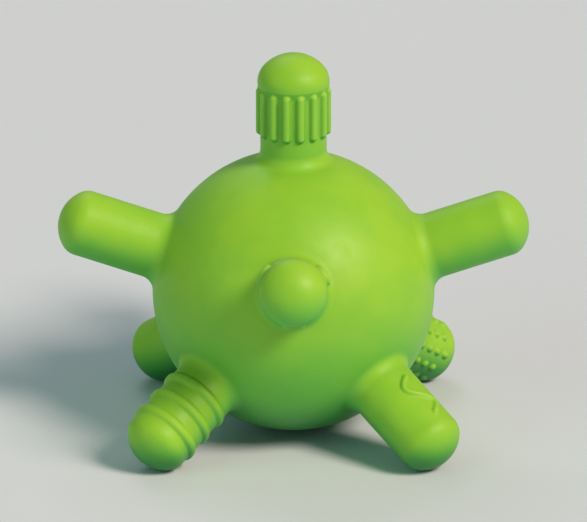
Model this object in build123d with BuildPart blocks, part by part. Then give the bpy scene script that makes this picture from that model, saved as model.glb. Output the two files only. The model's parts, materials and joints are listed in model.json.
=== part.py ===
"""Soft teething ball: a hollow ball with nine chewing arms, divided at the arms' roots, where it bends.

The ball stands on its four lower arms. The origin is on the ground under the ball's centre, +Z runs up along
the ribbed arm, and -Y points out over the arm with the raised rings.
"""

import os
from math import atan2, cos, degrees, pi, radians, sin, sqrt

from build123d import *

# Driving dimensions, in millimetres and degrees
BALL_R = 26.5  # outside of the ball
WALL = 3.0
ARM_R = 6.2
SHANK = 15.0  # straight length of an arm, from its pivot on the ball's surface to its dome
DOME = 4.7  # height of an arm's blunt dome, less than its radius
SHOULDER_R = 3.4  # rounding from an arm's side into its dome
UPPER_TILT = 18.5  # the upper arms point this far above level
LOWER_TILT = -30.5  # the lower arms point this far below level
ROOT_GAP = 0.6  # room round an arm's ball-shaped root, so that it can bend

RIBBED_SHANK = 14.5  # the ribbed arm flares under its dome, which is wider, longer and rounder
RIBBED_DOME_R = 6.75
RIBBED_DOME = 5.4
RIBBED_SHOULDER_R = 4.4
FLARE_START = 12.9
RIB_COUNT = 15
RIB_TURN = 18  # the first rib's angle from +X, so that a groove faces straight forward
RIB_R = 0.75  # rounding of a rib
RIB_OUT_R = 7.05  # radius over the ribs
RIB_START = 4.3  # lower end of the ribs, above the pivot
RIB_LENGTH = 9.4

RING_R = 1.5  # middle of a ring's wall
RING_WALL_R = 0.75
RING_LIFT = 0.1  # how far the middle of a ring's wall stands over the arm's surface
RING_PLACES = [(5.2, -90), (8.7, 30), (8.7, 150)]  # height above the pivot, angle round the arm

BUMP_R = 1.0
BUMP_SINK = 0.35  # how far a bump's centre lies under the arm's surface
BUMP_PITCH = 3.2
BUMP_START = 4.2
BUMP_ROWS = 8  # rows round the arm, every other one moved along by half a pitch

DOT_R = 0.75
DOT_SINK = 0.2
DOT_PITCH = 2.4
DOT_ROWS = 12

RIDGE_PITCH = 4.3
RIDGE_START = 4.0
RIDGE_COUNT = 3
RIDGE_R = 1.1
RIDGE_SINK = 0.55

WAVE_R = 0.6  # rounding of the wavy line
WAVE_LENGTH = 9.0  # one whole wave, along the arm
WAVE_SWING = 1.9  # to each side of the arm's middle
WAVE_START = 4.0
WAVE_STEPS = 8

VENT_R = 3.0
VENT_FLANGE_R = 4.8
VENT_FLANGE = 1.2  # thickness of the plug's flange, at its edge
VENT_RECESS = 0.3  # the plug's face lies this far inside the ball's surface

# Worked out from the dimensions above
PLAIN_SIDE = [(ARM_R, 0), (ARM_R, SHANK)]  # radius and height of each corner, from the pivot to the dome's foot
RIBBED_SIDE = [(ARM_R, 0), (ARM_R, FLARE_START), (RIBBED_DOME_R, RIBBED_SHANK)]
SOCKET_R = ARM_R + ROOT_GAP
LEG_SLOPE = radians(-LOWER_TILT)
LEG_REACH = (BALL_R + SHANK) * sin(LEG_SLOPE) + (ARM_R - SHOULDER_R) * cos(LEG_SLOPE) + SHOULDER_R
BALL_CENTRE = Vector(0, 0, LEG_REACH)  # the shoulders of the lower arms' domes touch the ground


def arm_root(azimuth, tilt):
    """Plane at an arm's pivot: z_dir points along the arm, x_dir is level, and y_dir is the arm's upper side."""
    turn = radians(azimuth)
    rise = radians(tilt)
    outward = Vector(cos(rise) * cos(turn), cos(rise) * sin(turn), sin(rise))
    level = Vector(-sin(turn), cos(turn), 0)
    return Plane(BALL_CENTRE + outward * BALL_R, x_dir=level, z_dir=outward)


def surface_place(root, height, angle, radius=ARM_R):
    """Plane at a height and an angle round an arm: z_dir points out of the arm and x_dir runs along it."""
    side = root.x_dir * cos(radians(angle)) + root.y_dir * sin(radians(angle))
    return Plane(root.origin + root.z_dir * height + side * radius, x_dir=root.z_dir, z_dir=side)


def smooth_arm(root, side=PLAIN_SIDE, dome=DOME, shoulder_r=SHOULDER_R):
    """Revolve an arm with no texture: a ball-shaped root about the pivot, a side and a blunt dome.

    The dome is a shoulder arc that runs into a larger crown arc, tangent to it and square to the axis.
    """
    dome_r, foot = side[-1]
    shoulder_x = dome_r - shoulder_r
    crown_r = (shoulder_x**2 + dome**2 - shoulder_r**2) / (2 * (dome - shoulder_r))
    crown_angle = degrees(atan2(crown_r - dome, shoulder_x))
    with BuildSketch(Plane(root.origin, x_dir=root.x_dir, z_dir=-root.y_dir)) as section:
        with BuildLine():
            CenterArc((0, 0), ARM_R, -90, 90)
            Polyline(*side)
            CenterArc((shoulder_x, foot), shoulder_r, 0, crown_angle)
            CenterArc((0, foot + dome - crown_r), crown_r, crown_angle, 90 - crown_angle)
            Line((0, foot + dome), (0, -ARM_R))
        make_face()
    revolve(section.sketch, axis=Axis(root.origin, root.z_dir))


def staggered_rows(rows, pitch, first, last):
    """Heights and angles of rows round an arm, where every other row is moved along by half a pitch."""
    places = []
    for row in range(rows):
        height = first + (row % 2) * pitch / 2
        while height <= last:
            places.append((height, row * 360 / rows))
            height += pitch
    return places


# The roots: four upper arms a quarter turn apart, and four lower ones turned 45 degrees from them
TOP = arm_root(-90, 90)
FRONT = arm_root(-90, UPPER_TILT)
RIGHT = arm_root(0, UPPER_TILT)
BACK = arm_root(90, UPPER_TILT)
LEFT = arm_root(180, UPPER_TILT)
FRONT_RIGHT = arm_root(-45, LOWER_TILT)
BACK_RIGHT = arm_root(45, LOWER_TILT)
BACK_LEFT = arm_root(135, LOWER_TILT)
FRONT_LEFT = arm_root(-135, LOWER_TILT)
ROOTS = [TOP, FRONT, RIGHT, BACK, LEFT, FRONT_RIGHT, BACK_RIGHT, BACK_LEFT, FRONT_LEFT]
VENT = Plane(BALL_CENTRE - Vector(0, 0, BALL_R), x_dir=(1, 0, 0), z_dir=(0, 0, -1))

# Ball: a hollow shell with a round opening under every arm, and the vent hole
with BuildPart() as ball_shell:
    with Locations(BALL_CENTRE):
        Sphere(BALL_R)
        Sphere(BALL_R - WALL, mode=Mode.SUBTRACT)
    with Locations(*ROOTS):
        Hole(SOCKET_R, depth=2 * WALL)
    with Locations(VENT):
        Hole(VENT_R, depth=2 * WALL)

# Vent plug: a stem in the vent hole and a flange bedded on the inside of the ball's wall
with BuildPart() as vent_plug:
    inner_r = BALL_R - WALL
    flange_edge = sqrt(inner_r**2 - VENT_FLANGE_R**2)
    with BuildSketch(Plane(BALL_CENTRE, x_dir=(1, 0, 0), z_dir=(0, 1, 0))):
        with BuildLine():
            Polyline(
                (VENT_FLANGE_R, flange_edge),
                (VENT_FLANGE_R, flange_edge - VENT_FLANGE),
                (0, flange_edge - VENT_FLANGE),
                (0, BALL_R - VENT_RECESS),
                (VENT_R, BALL_R - VENT_RECESS),
                (VENT_R, sqrt(inner_r**2 - VENT_R**2)),
            )
            RadiusArc((VENT_R, sqrt(inner_r**2 - VENT_R**2)), (VENT_FLANGE_R, flange_edge), inner_r)
        make_face()
    revolve(axis=Axis(BALL_CENTRE, (0, 0, 1)))

# Top arm: rounded ribs all round, between a smooth neck and a smooth dome that is nearly as wide as they are
with BuildPart() as ribbed_arm:
    smooth_arm(TOP, RIBBED_SIDE, RIBBED_DOME, RIBBED_SHOULDER_R)
    rib_circle = RIB_OUT_R - RIB_R
    rib_middle = RIB_START + RIB_LENGTH / 2
    bar = RIB_LENGTH - 2 * RIB_R
    for rib in range(RIB_COUNT):
        place = surface_place(TOP, rib_middle, RIB_TURN + rib * 360 / RIB_COUNT, rib_circle)
        with Locations(place):
            Cylinder(RIB_R, bar, rotation=(0, 90, 0))
            with Locations((-bar / 2, 0, 0), (bar / 2, 0, 0)):
                Sphere(RIB_R)

# Front arm: three raised rings
with BuildPart() as ring_arm:
    smooth_arm(FRONT)
    for height, angle in RING_PLACES:
        with Locations(surface_place(FRONT, height, angle, ARM_R + RING_LIFT)):
            Torus(RING_R, RING_WALL_R)

# Back arm: rows of bumps
with BuildPart() as bump_arm:
    smooth_arm(BACK)
    for height, angle in staggered_rows(BUMP_ROWS, BUMP_PITCH, BUMP_START, SHANK):
        with Locations(surface_place(BACK, height, angle, ARM_R - BUMP_SINK)):
            Sphere(BUMP_R)

# Side arms: plain
with BuildPart() as left_arm:
    smooth_arm(LEFT)

with BuildPart() as right_arm:
    smooth_arm(RIGHT)

# Lower arm at the back right: small dots, closer together than the bumps
with BuildPart() as dotted_leg:
    smooth_arm(BACK_RIGHT)
    for height, angle in staggered_rows(DOT_ROWS, DOT_PITCH, BUMP_START, SHANK):
        with Locations(surface_place(BACK_RIGHT, height, angle, ARM_R - DOT_SINK)):
            Sphere(DOT_R)

# Lower arm at the front left: ridges right round it
with BuildPart() as ridged_leg:
    smooth_arm(FRONT_LEFT)
    for ridge in range(RIDGE_COUNT):
        height = RIDGE_START + ridge * RIDGE_PITCH
        with Locations(FRONT_LEFT.offset(height)):
            Torus(ARM_R - RIDGE_SINK, RIDGE_R)

# Lower arm at the front right: one raised wavy line on its upper side
with BuildPart() as wave_leg:
    smooth_arm(FRONT_RIGHT)
    crest = []
    for step in range(WAVE_STEPS + 1):
        swing = WAVE_SWING * sin(2 * pi * step / WAVE_STEPS)
        across = swing * 180 / (pi * ARM_R)
        crest.append(surface_place(FRONT_RIGHT, WAVE_START + WAVE_LENGTH * step / WAVE_STEPS, 90 + across).origin)
    with BuildLine() as wave:
        Spline(*crest)
    with BuildSketch(Plane(wave.line @ 0, z_dir=wave.line % 0)):
        Circle(WAVE_R)
    sweep(path=wave.line)
    with Locations(wave.line @ 0, wave.line @ 1):
        Sphere(WAVE_R)

# Lower arm at the back left: plain
with BuildPart() as plain_leg:
    smooth_arm(BACK_LEFT)

pieces = {
    "ball_shell": ball_shell,
    "vent_plug": vent_plug,
    "ribbed_arm": ribbed_arm,
    "ring_arm": ring_arm,
    "bump_arm": bump_arm,
    "left_arm": left_arm,
    "right_arm": right_arm,
    "dotted_leg": dotted_leg,
    "ridged_leg": ridged_leg,
    "wave_leg": wave_leg,
    "plain_leg": plain_leg,
}
os.makedirs("parts", exist_ok=True)
for name, piece in pieces.items():
    piece.part.label = name
    export_step(piece.part, f"parts/{name}.step")
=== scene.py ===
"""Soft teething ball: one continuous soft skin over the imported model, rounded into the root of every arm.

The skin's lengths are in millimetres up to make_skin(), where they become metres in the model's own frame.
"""

import json
from math import acos, asin, atan2, cos, pi, radians, sin, sqrt

import bpy
import numpy as np
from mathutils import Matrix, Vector


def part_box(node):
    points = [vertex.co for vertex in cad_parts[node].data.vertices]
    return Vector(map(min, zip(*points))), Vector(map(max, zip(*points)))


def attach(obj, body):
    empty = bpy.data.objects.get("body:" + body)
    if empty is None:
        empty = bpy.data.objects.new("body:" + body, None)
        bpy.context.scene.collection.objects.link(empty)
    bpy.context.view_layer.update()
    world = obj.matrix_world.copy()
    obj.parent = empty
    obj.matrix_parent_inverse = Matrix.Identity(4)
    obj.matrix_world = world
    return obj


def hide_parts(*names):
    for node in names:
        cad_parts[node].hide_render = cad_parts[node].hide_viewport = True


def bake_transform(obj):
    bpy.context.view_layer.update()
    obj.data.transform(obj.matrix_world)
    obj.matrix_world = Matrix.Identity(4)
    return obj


MM = 0.001

# The skin's sizes, as in the model
ARM_R = 6.2
ROOT_FILLET = 3.0  # the ball runs into every arm with this rounding
SHANK, DOME, SHOULDER_R = 15.0, 4.7, 3.4
RIBBED_SHANK, RIBBED_DOME_R, RIBBED_DOME, RIBBED_SHOULDER_R = 14.5, 6.75, 5.4, 4.4
FLARE_START = 12.4  # the ribbed arm swells smoothly from here, a little under the model's corner
VENT_R, VENT_RECESS = 3.0, 0.3

# Raised textures: heights are above the ball's surface, along the arm; angles go round it
RIB_COUNT, RIB_TURN = 15, 18
RIB_START, RIB_LENGTH, RIB_HALF_WIDTH, RIB_HEIGHT = 4.3, 9.4, 0.86, 0.85
RINGS = [(5.2, -90), (8.7, 30), (8.7, 150)]
RING_R, RING_HALF_WIDTH, RING_HEIGHT = 1.5, 0.78, 0.85
BUMP_ROWS, BUMP_PITCH, BUMP_START, BUMP_HALF_WIDTH, BUMP_HEIGHT = 8, 3.2, 4.2, 1.0, 0.65
DOT_ROWS, DOT_PITCH, DOT_HALF_WIDTH, DOT_HEIGHT = 12, 2.4, 0.8, 0.55
RIDGE_START, RIDGE_PITCH, RIDGE_COUNT, RIDGE_HALF_WIDTH, RIDGE_HEIGHT = 4.0, 4.3, 3, 1.05, 0.55
WAVE_START, WAVE_LENGTH, WAVE_SWING, WAVE_HALF_WIDTH, WAVE_HEIGHT = 4.0, 9.0, 1.9, 0.68, 0.6
WAVE_POINTS = 91  # places along the wavy line from which distances are measured
FLANK = 2.6  # above 2, a texture's crest is fuller than a parabola
FOOT = 0.07  # softens where a texture rises out of the skin
FAR_DOWN = -4  # a crest falls no further than this many of its heights, well outside it

# The mesh
SKIN_STEP = 0.5  # row spacing on plain skin
FINE_STEP = 0.2  # row spacing under a texture
DOME_STEP = 0.28
PLAIN_COLUMNS, FINE_COLUMNS, BALL_COLUMNS, PLUG_COLUMNS = 144, 240, 288, 96
POLE = 0.015  # rows stop this close to a pole, in radians
RELIEF_FLOOR = 0.004
SKIRT_ANGLE = radians(2.5)  # an arm's skin runs on this far under the ball's skin
SKIRT_DEPTH, SKIRT_ROWS = 0.08, 5
SEAM_DEPTH = 0.008  # the rounding at an arm's root comes out of the ball from this far under its surface
EASE_SHARE = 0.55  # and has left the ball's shading behind after this share of its rows
# The skin's closed base inside the ball: share of the skirt's radius, depth under its edge
HIDDEN_BASE = [(0.02, 1.3), (0.3, 1.3), (0.6, 1.3), (0.85, 1.1), (0.96, 0.6)]

# The vent plug
VENT_LIP, VENT_DEPTH = 0.25, 1.2
PLUG_GAP, PLUG_STEP = 0.08, 0.1
PLUG_GROOVE, PLUG_GROOVE_R, PLUG_GROOVE_HALF_WIDTH, PLUG_NIB_R = 0.15, 1.9, 0.35, 0.5


def smooth_rise(value):
    """The positive part of value, with a rounded foot."""
    return 0.5 * (value + np.sqrt(value**2 + FOOT**2))


def crest(distance, half_width, height):
    """Height of a rounded raised line or bump, at a distance from its middle."""
    share = 1 - (np.abs(distance) / half_width) ** FLANK
    return smooth_rise(height * np.maximum(share, FAR_DOWN))


def across(angle, middle):
    """Distance round an arm's surface from the angle middle, in degrees, the short way."""
    turn = (angle - radians(middle) + pi) % (2 * pi) - pi
    return turn * ARM_R


def plain(height, angle):
    return np.zeros_like(height + angle)


def flare(height):
    """How far the ribbed arm's skin has swollen at a height, from its neck to its wider dome."""
    share = np.clip((height - FLARE_START) / (RIBBED_SHANK - FLARE_START), 0, 1)
    return (RIBBED_DOME_R - ARM_R) * share**2 * (3 - 2 * share)


def ribs(height, angle):
    nearest = across(angle * RIB_COUNT, RIB_TURN * RIB_COUNT) / RIB_COUNT
    low = RIB_START + RIB_HALF_WIDTH
    high = RIB_START + RIB_LENGTH - RIB_HALF_WIDTH
    past = np.maximum(np.maximum(low - height, height - high), 0)
    return crest(np.hypot(nearest, past), RIB_HALF_WIDTH, RIB_HEIGHT - flare(height))


def rings(height, angle):
    rise = plain(height, angle)
    for ring_height, ring_angle in RINGS:
        distance = np.hypot(height - ring_height, across(angle, ring_angle))
        rise = np.maximum(rise, crest(distance - RING_R, RING_HALF_WIDTH, RING_HEIGHT))
    return rise


def staggered(height, angle, rows, pitch, half_width, bump_height):
    """Bumps in rows round an arm, where every other row is moved along by half a pitch."""
    rise = plain(height, angle)
    for row in range(rows):
        along = BUMP_START + (row % 2) * pitch / 2
        while along <= SHANK:
            distance = np.hypot(height - along, across(angle, row * 360 / rows))
            rise = np.maximum(rise, crest(distance, half_width, bump_height))
            along += pitch
    return rise


def bumps(height, angle):
    return staggered(height, angle, BUMP_ROWS, BUMP_PITCH, BUMP_HALF_WIDTH, BUMP_HEIGHT)


def dots(height, angle):
    return staggered(height, angle, DOT_ROWS, DOT_PITCH, DOT_HALF_WIDTH, DOT_HEIGHT)


def ridges(height, angle):
    rise = plain(height, angle)
    for ridge in range(RIDGE_COUNT):
        middle = RIDGE_START + ridge * RIDGE_PITCH
        rise = np.maximum(rise, crest(height - middle, RIDGE_HALF_WIDTH, RIDGE_HEIGHT))
    return rise


def wave(height, angle):
    """One wavy line along the arm's upper side."""
    side = across(angle, 90)
    nearest = np.full_like(side + height, np.inf)
    for share in np.linspace(0, 1, WAVE_POINTS):
        middle = WAVE_SWING * sin(2 * pi * share)
        distance = np.hypot(height - WAVE_START - WAVE_LENGTH * share, side - middle)
        nearest = np.minimum(nearest, distance)
    return crest(nearest, WAVE_HALF_WIDTH, WAVE_HEIGHT)


class Profile:
    """Half a section of a turned skin: the radius, height and outward normal of every row."""

    def __init__(self):
        self.rows = []

    def point(self, radius, height, normal):
        self.rows.append((radius, height, *normal))

    def arc(self, centre, radius, start, end, step, hollow=False):
        """Rows along an arc, without its first point. Angles are in radians from straight outward."""
        count = max(3, round(abs(end - start) * radius / step))
        side = -1 if hollow else 1
        for a in np.linspace(start, end, count + 1)[1:]:
            place = (centre[0] + radius * cos(a), centre[1] + radius * sin(a))
            self.point(*place, (side * cos(a), side * sin(a)))

    def line(self, radius, height, normal, step):
        """Rows in a straight line from the last one to a new radius and height."""
        start = self.rows[-1][:2]
        count = max(1, round(np.hypot(radius - start[0], height - start[1]) / step))
        for share in np.arange(1, count + 1) / count:
            place = [a + (b - a) * share for a, b in zip(start, (radius, height))]
            self.point(*place, normal)

    def array(self):
        return np.array(self.rows)


def arm_profile(shank, dome_r, dome, shoulder_r, step):
    """An arm's skin, from its hidden base inside the ball, over the root's rounding, to its blunt dome."""
    fillet_x = ARM_R + ROOT_FILLET
    root_angle = asin(fillet_x / (BALL_R + ROOT_FILLET))  # where the rounding leaves the ball
    fillet_height = sqrt((BALL_R + ROOT_FILLET) ** 2 - fillet_x**2)
    edge = root_angle + SKIRT_ANGLE
    profile = Profile()
    for share, drop in HIDDEN_BASE:
        profile.point(BALL_R * sin(edge) * share, BALL_R * cos(edge) - drop, (0, -1))
    for share in np.linspace(1, 0, SKIRT_ROWS):
        angle = root_angle + SKIRT_ANGLE * share
        reach = BALL_R - SEAM_DEPTH - SKIRT_DEPTH * share
        profile.point(reach * sin(angle), reach * cos(angle), (sin(angle), cos(angle)))
    on_ball = len(profile.rows)
    profile.arc((fillet_x, fillet_height), ROOT_FILLET, pi * 1.5 - root_angle, pi, FINE_STEP, hollow=True)
    ease_off(profile, on_ball, (sin(root_angle), cos(root_angle)))
    top = BALL_R + shank
    if dome_r > ARM_R:
        profile.line(ARM_R, BALL_R + FLARE_START, (1, 0), step)
        for height in np.arange(FLARE_START + step, shank, step):
            profile.point(ARM_R + flare(height), BALL_R + height, (1, 0))
        profile.point(dome_r, top, (1, 0))
    else:
        profile.line(ARM_R, top, (1, 0), step)
    shoulder_x = dome_r - shoulder_r
    crown_r = (shoulder_x**2 + dome**2 - shoulder_r**2) / (2 * (dome - shoulder_r))
    crown_angle = atan2(crown_r - dome, shoulder_x)
    profile.arc((shoulder_x, top), shoulder_r, 0, crown_angle, DOME_STEP)
    profile.arc((0, top + dome - crown_r), crown_r, crown_angle, pi / 2 - POLE, DOME_STEP)
    return profile.array()


def ease_off(profile, first, ball_normal):
    """Start the rounding just under the ball's surface, shaded as the ball there, so that no line shows."""
    last = len(profile.rows)
    for row in range(first, last):
        share = min(1, (row - first + 1) / (EASE_SHARE * (last - first)))
        share = share**2 * (3 - 2 * share)
        radius, height, out, up = profile.rows[row]
        out, up = (ball + (own - ball) * share for ball, own in zip(ball_normal, (out, up)))
        length = np.hypot(out, up)
        radius -= ball_normal[0] * SEAM_DEPTH * (1 - share)
        height -= ball_normal[1] * SEAM_DEPTH * (1 - share)
        profile.rows[row] = (radius, height, out / length, up / length)


def ball_profile():
    """The ball, turned about the vent's axis: from the pole under the ribbed arm to the vent's recess."""
    lip_x = VENT_R + VENT_LIP
    lip_angle = acos(lip_x / (BALL_R - VENT_LIP))
    lip_height = (BALL_R - VENT_LIP) * sin(lip_angle)
    floor = BALL_R - VENT_DEPTH
    profile = Profile()
    profile.arc((0, 0), BALL_R, POLE - pi / 2, lip_angle, SKIN_STEP)
    profile.arc((lip_x, lip_height), VENT_LIP, lip_angle, pi, VENT_LIP / 4)
    profile.line(VENT_R, floor, (-1, 0), FINE_STEP)
    profile.line(FINE_STEP, floor, (0, 1), SKIN_STEP)
    return profile.array()


def plug_profile():
    """The vent plug's visible end: a rounded edge, a shallow round groove and a small nib."""
    side = VENT_R - PLUG_GAP
    face = BALL_R - VENT_RECESS
    profile = Profile()
    profile.point(FINE_STEP, BALL_R - VENT_DEPTH - PLUG_GAP, (0, -1))
    profile.line(side, BALL_R - VENT_DEPTH - PLUG_GAP, (0, -1), SKIN_STEP)
    profile.line(side, face - VENT_LIP, (1, 0), FINE_STEP)
    profile.arc((side - VENT_LIP, face - VENT_LIP), VENT_LIP, 0, pi / 2, VENT_LIP / 4)
    for radius in np.arange(side - VENT_LIP - PLUG_STEP, PLUG_STEP / 2, -PLUG_STEP):
        groove = PLUG_GROOVE * max(0, 1 - ((radius - PLUG_GROOVE_R) / PLUG_GROOVE_HALF_WIDTH) ** 2)
        nib = PLUG_GROOVE * max(0, 1 - (radius / PLUG_NIB_R) ** 4)
        profile.point(radius, face - groove + nib, (0, 0))
    return profile.array()


def make_skin(name, axes, profile, columns, texture=plain):
    """Turn a profile about an axis through the ball's centre, raise its texture, and close both ends."""
    x_dir, y_dir, z_dir = (np.array(v) for v in axes)
    radius, height, out, up = (profile[:, i : i + 1] for i in range(4))
    angle = (np.arange(columns) * 2 * pi / columns)[None, :]
    steps = np.hypot(np.diff(profile[:, 0]), np.diff(profile[:, 1]))
    walked = np.concatenate([[0], np.cumsum(steps)])
    straight = np.argmin(abs(profile[:, 1] - BALL_R - SHANK / 2))  # on the shank, skin and axis run alike
    along = walked - walked[straight] + profile[straight, 1] - BALL_R
    relief = np.maximum(texture(along[:, None], angle) - RELIEF_FLOOR, 0)
    relief[along < 0] = 0
    side = np.cos(angle)[..., None] * x_dir + np.sin(angle)[..., None] * y_dir
    places = side * (radius + out * relief)[..., None] + (height + up * relief)[..., None] * z_dir
    normals = side * out[..., None] + up[..., None] * z_dir
    textured = relief.any(axis=1)
    textured[1:-1] |= textured[:-2] | textured[2:]
    normals[textured] = 0  # zero asks for the mesh's own normal

    ends = np.array([profile[0, 1] * z_dir, profile[-1, 1] * z_dir])
    points = np.concatenate([places.reshape(-1, 3), ends]) * MM + BALL_CENTRE
    grid = np.arange(relief.size).reshape(relief.shape)
    after = np.roll(grid, -1, axis=1)
    first, last = relief.size, relief.size + 1
    faces = np.stack([grid[:-1], after[:-1], after[1:], grid[1:]], axis=-1).reshape(-1, 4).tolist()
    faces += [(first, b, a) for a, b in zip(grid[0].tolist(), after[0].tolist())]
    faces += [(last, a, b) for a, b in zip(grid[-1].tolist(), after[-1].tolist())]
    mesh = bpy.data.meshes.new(name)
    mesh.from_pydata(points.tolist(), [], faces)
    mesh.polygons.foreach_set("use_smooth", np.ones(len(faces), bool))
    mesh.update()
    normals = np.concatenate([normals.reshape(-1, 3), np.zeros((2, 3))])
    mesh.normals_split_custom_set_from_vertices(normals)
    rest = mesh.attributes.new("rest", "FLOAT_VECTOR", "POINT")
    rest.data.foreach_set("vector", points.astype(np.float32).ravel())
    raised = mesh.attributes.new("relief", "FLOAT", "POINT")
    raised.data.foreach_set("value", np.append(relief.ravel(), [0, 0]).astype(np.float32))
    skin = bpy.data.objects.new(name, mesh)
    bpy.context.scene.collection.objects.link(skin)
    return skin


# The frame: where the ball and every arm are
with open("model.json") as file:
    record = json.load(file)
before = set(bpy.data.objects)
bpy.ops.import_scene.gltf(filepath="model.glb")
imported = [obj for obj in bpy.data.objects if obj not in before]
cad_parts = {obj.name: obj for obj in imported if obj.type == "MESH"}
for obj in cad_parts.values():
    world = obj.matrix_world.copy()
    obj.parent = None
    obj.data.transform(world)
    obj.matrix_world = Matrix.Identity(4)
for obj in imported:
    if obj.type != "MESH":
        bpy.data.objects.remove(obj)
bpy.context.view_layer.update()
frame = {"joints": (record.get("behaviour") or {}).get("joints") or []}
pivots = {joint["child"]: np.array(joint["pos_m"]) for joint in frame["joints"]}
low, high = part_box("ball_shell")
BALL_R = (high.x - low.x) / 2 / MM
BALL_CENTRE = pivots["ribbed_arm"] - [0, 0, BALL_R * MM]
UP = np.array([0.0, 0.0, 1.0])


def arm_axes(body):
    """An arm's level direction, its upper side, and the direction it points in."""
    outward = pivots[body] - BALL_CENTRE
    outward /= np.linalg.norm(outward)
    level = np.cross(UP, outward)
    if np.linalg.norm(level) < POLE:
        level = np.array([1.0, 0.0, 0.0])
    level /= np.linalg.norm(level)
    return level, np.cross(outward, level), outward


MIX_SOCKETS, MIX_RESULT = (0, 6, 7), 2  # a Mix node's factor, its two colours, and its mixed colour


def add(tree, kind, settings=(), **inputs):
    """A shader node: settings are its own properties, inputs are values or the sockets that feed them."""
    node = tree.nodes.new(kind)
    for key, value in dict(settings).items():
        setattr(node, key, value)
    for key, value in inputs.items():
        socket = node.inputs[key.replace("_", " ")]
        if isinstance(value, bpy.types.NodeSocket):
            tree.links.new(value, socket)
        else:
            socket.default_value = value
    return node


def noise(tree, place, scale, detail):
    node = add(tree, "ShaderNodeTexNoise", Vector=place, Scale=scale, Detail=detail, Roughness=0.55)
    return node.outputs["Fac"]


def remap(tree, value, old, new=(0, 1)):
    """A value's range old moved to the range new, with soft ends."""
    node = add(tree, "ShaderNodeMapRange", {"interpolation_type": "SMOOTHSTEP"}, Value=value)
    for socket, number in zip(("From Min", "From Max", "To Min", "To Max"), (*old, *new)):
        node.inputs[socket].default_value = number
    return node.outputs["Result"]


def mix(tree, share, first, second):
    """Two colours mixed by a share."""
    node = tree.nodes.new("ShaderNodeMix")
    node.data_type = "RGBA"
    for i, value in zip(MIX_SOCKETS, (share, first, second)):
        if isinstance(value, bpy.types.NodeSocket):
            tree.links.new(value, node.inputs[i])
        else:
            node.inputs[i].default_value = value
    return node.outputs[MIX_RESULT]


def soft_vinyl(name, lit, cloudy, under, painted_occlusion_shade, painted_crest_highlight):
    """Satin, slightly translucent soft vinyl: cloudy in its colour, with a painted highlight that makes
    raised crests paler.

    It has painted shade: a cooler, deeper green on surfaces that face down, and where ambient occlusion finds
    it shut in.
    """
    material = bpy.data.materials.new(name)
    material.use_nodes = True
    tree = material.node_tree
    surface = tree.nodes["Principled BSDF"]
    place = add(tree, "ShaderNodeAttribute", {"attribute_name": "rest"}).outputs["Vector"]
    raised = add(tree, "ShaderNodeAttribute", {"attribute_name": "relief"}).outputs["Fac"]
    clouds = remap(tree, noise(tree, place, CLOUD_SCALE, 2), (0.35, 0.65))
    colour = mix(tree, clouds, lit, cloudy)
    # Painted highlight: raised crests turn paler with their relief height
    colour = mix(tree, remap(tree, raised, (0.25, 0.85), (0, 0.5)), colour, painted_crest_highlight)
    facing = add(tree, "ShaderNodeNewGeometry").outputs["Normal"]
    upward = add(tree, "ShaderNodeSeparateXYZ", Vector=facing).outputs["Z"]
    # Painted shade: surfaces that face down turn a cooler, deeper green
    colour = mix(tree, remap(tree, upward, (-0.7, 0.45), (0.68, 0)), colour, under)
    occlusion_for_painted_shade = add(tree, "ShaderNodeAmbientOcclusion", {"samples": 12}, Distance=PAINTED_SHADE_REACH).outputs["AO"]
    # Painted shade: a deep green where ambient occlusion finds the surface shut in
    colour = mix(tree, remap(tree, occlusion_for_painted_shade, (0.1, 0.95)), painted_occlusion_shade, colour)
    tree.links.new(colour, surface.inputs["Base Color"])
    handled = remap(tree, noise(tree, place, HANDLED_SCALE, 3), (0.3, 0.7), (0.46, 0.57))
    tree.links.new(handled, surface.inputs["Roughness"])
    swells = noise(tree, place, UNEVEN_SCALE, 1)
    uneven = add(tree, "ShaderNodeBump", Height=swells, Strength=0.25, Distance=0.0004).outputs["Normal"]
    pores = noise(tree, place, GRAIN_SCALE, 2)
    grain = add(tree, "ShaderNodeBump", Height=pores, Strength=0.4, Distance=0.00005, Normal=uneven)
    tree.links.new(grain.outputs["Normal"], surface.inputs["Normal"])
    surface.inputs["IOR"].default_value = 1.49
    surface.inputs["Specular IOR Level"].default_value = 0.4
    surface.inputs["Sheen Weight"].default_value = 0.12
    surface.inputs["Sheen Roughness"].default_value = 0.4
    surface.inputs["Sheen Tint"].default_value = (0.85, 1.0, 0.6, 1)
    return material


def pale_floor():
    """A wide round floor in a matt pale paint, slightly uneven in tone."""
    rings, spokes, reach = 24, 96, 6.0
    points = [(0.0, 0.0, 0.0)]
    for ring in range(1, rings + 1):
        for spoke in range(spokes):
            turn = 2 * pi * spoke / spokes
            out = reach * (ring / rings) ** 2
            points.append((out * cos(turn), out * sin(turn), 0.0))
    faces = [(0, 1 + s, 1 + (s + 1) % spokes) for s in range(spokes)]
    for ring in range(rings - 1):
        a = 1 + ring * spokes
        for s in range(spokes):
            t = (s + 1) % spokes
            faces.append((a + s, a + spokes + s, a + spokes + t, a + t))
    mesh = bpy.data.meshes.new("floor")
    mesh.from_pydata(points, [], faces)
    floor = bpy.data.objects.new("floor", mesh)
    bpy.context.scene.collection.objects.link(floor)
    material = bpy.data.materials.new("floor_paint")
    material.use_nodes = True
    tree = material.node_tree
    surface = tree.nodes["Principled BSDF"]
    place = add(tree, "ShaderNodeTexCoord").outputs["Object"]
    tone = mix(tree, noise(tree, place, 6, 2), (0.78, 0.735, 0.82, 1), (0.81, 0.765, 0.84, 1))
    tree.links.new(tone, surface.inputs["Base Color"])
    surface.inputs["Roughness"].default_value = 0.75
    mesh.materials.append(material)


def aim(thing, place, target):
    thing.location = place
    thing.rotation_mode = "QUATERNION"
    thing.rotation_quaternion = (Vector(target) - Vector(place)).to_track_quat("-Z", "Y")
    bpy.context.scene.collection.objects.link(thing)


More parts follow.
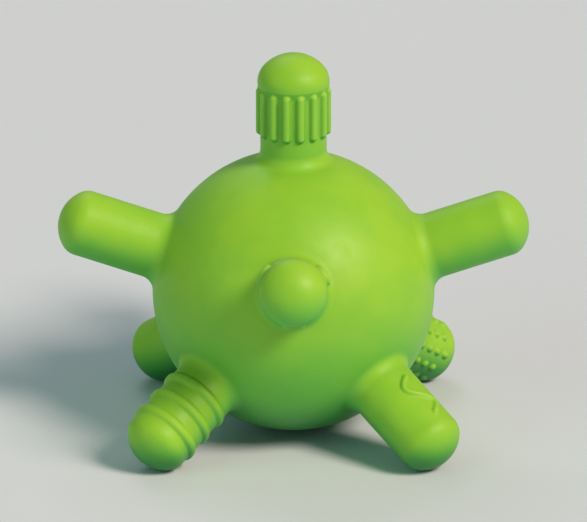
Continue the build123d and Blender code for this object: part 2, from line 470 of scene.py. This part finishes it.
def broad_light(name, place, width, strength, colour):
    """A soft light far away on one side of the object, as wide as an angle; it lights the floor evenly."""
    lamp = bpy.data.lights.new(name, "SUN")
    lamp.angle = width
    lamp.energy = strength
    lamp.color = colour
    aim(bpy.data.objects.new(name, lamp), place, (0, 0, 0))


# Colours are linear
CLOUD_SCALE, HANDLED_SCALE, UNEVEN_SCALE, GRAIN_SCALE = 90, 240, 170, 3200  # waves in a metre
# how far the ambient occlusion for the painted shade reaches, in metres
PAINTED_SHADE_REACH = 0.014
skin_finish = soft_vinyl(
    "soft_skin",
    lit=(0.35, 0.61, 0.030, 1),
    cloudy=(0.30, 0.58, 0.030, 1),
    # the underside and shut-in colours are painted shade, and the crest colour a painted highlight
    under=(0.02, 0.44, 0.065, 1),
    painted_occlusion_shade=(0.012, 0.21, 0.035, 1),
    painted_crest_highlight=(0.42, 0.70, 0.06, 1),
)
plug_finish = soft_vinyl(
    "vent_plug",
    lit=(0.28, 0.52, 0.030, 1),
    cloudy=(0.25, 0.49, 0.030, 1),
    # the underside and shut-in colours are painted shade, and the crest colour a painted highlight
    under=(0.018, 0.37, 0.055, 1),
    painted_occlusion_shade=(0.012, 0.18, 0.035, 1),
    painted_crest_highlight=(0.33, 0.58, 0.05, 1),
)

# The ball and its vent plug, turned about the vent's axis, straight down
downward = (np.array([1.0, 0.0, 0.0]), np.array([0.0, -1.0, 0.0]), -UP)
ball = make_skin("ball_skin", downward, ball_profile(), BALL_COLUMNS)
ball.data.materials.append(skin_finish)
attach(ball, "ball")
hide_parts("ball_shell")
plug = make_skin("vent_plug_skin", downward, plug_profile(), PLUG_COLUMNS)
plug.data.materials.append(plug_finish)
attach(plug, "ball")
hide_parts("vent_plug")

# The arms: each is tangent to the ball at its root
TEXTURES = {
    "ribbed_arm": ribs,
    "ring_arm": rings,
    "bump_arm": bumps,
    "left_arm": plain,
    "right_arm": plain,
    "dotted_leg": dots,
    "ridged_leg": ridges,
    "wave_leg": wave,
    "plain_leg": plain,
}
PLAIN_SHAPE = (SHANK, ARM_R, DOME, SHOULDER_R)
RIBBED_SHAPE = (RIBBED_SHANK, RIBBED_DOME_R, RIBBED_DOME, RIBBED_SHOULDER_R)
for arm, texture in TEXTURES.items():
    shape = RIBBED_SHAPE if arm == "ribbed_arm" else PLAIN_SHAPE
    smooth = texture is plain
    profile = arm_profile(*shape, SKIN_STEP if smooth else FINE_STEP)
    axes = arm_axes(arm)
    skin = make_skin(arm + "_skin", axes, profile, PLAIN_COLUMNS if smooth else FINE_COLUMNS, texture)
    skin.data.materials.append(skin_finish)
    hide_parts(arm)
    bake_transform(skin)

# Studio: a pale floor, a broad warm light from the upper right, and a cool fill, for greener shade
pale_floor()
broad_light("key", (0.54, -0.42, 0.60), radians(20), 2.65, (1.0, 0.93, 0.78))
broad_light("fill", (-0.75, -0.55, 0.35), radians(45), 0.5, (0.42, 1.0, 0.72))
broad_light("rim", (-0.15, 0.60, 0.60), radians(30), 0.45, (0.88, 0.97, 1.0))
world = bpy.data.worlds.new("studio")
world.use_nodes = True
sky = world.node_tree.nodes["Background"]
seen = add(world.node_tree, "ShaderNodeLightPath").outputs["Is Camera Ray"]
backdrop = mix(world.node_tree, seen, (0.125, 0.175, 0.175, 1), (0.72, 0.74, 0.75, 1))
world.node_tree.links.new(backdrop, sky.inputs["Color"])
bpy.context.scene.world = world
bpy.context.scene.view_settings.view_transform = "Standard"

lens = bpy.data.cameras.new("camera")
lens.lens = 490
lens.clip_end = 50
camera = bpy.data.objects.new("camera", lens)
distance, elevation = 1.5, radians(19.2)
aimed_at = (0, 0, 0.0325)
aim(camera, (0, -distance * cos(elevation), aimed_at[2] + distance * sin(elevation)), aimed_at)
bpy.context.scene.camera = camera

bpy.context.view_layer.update()
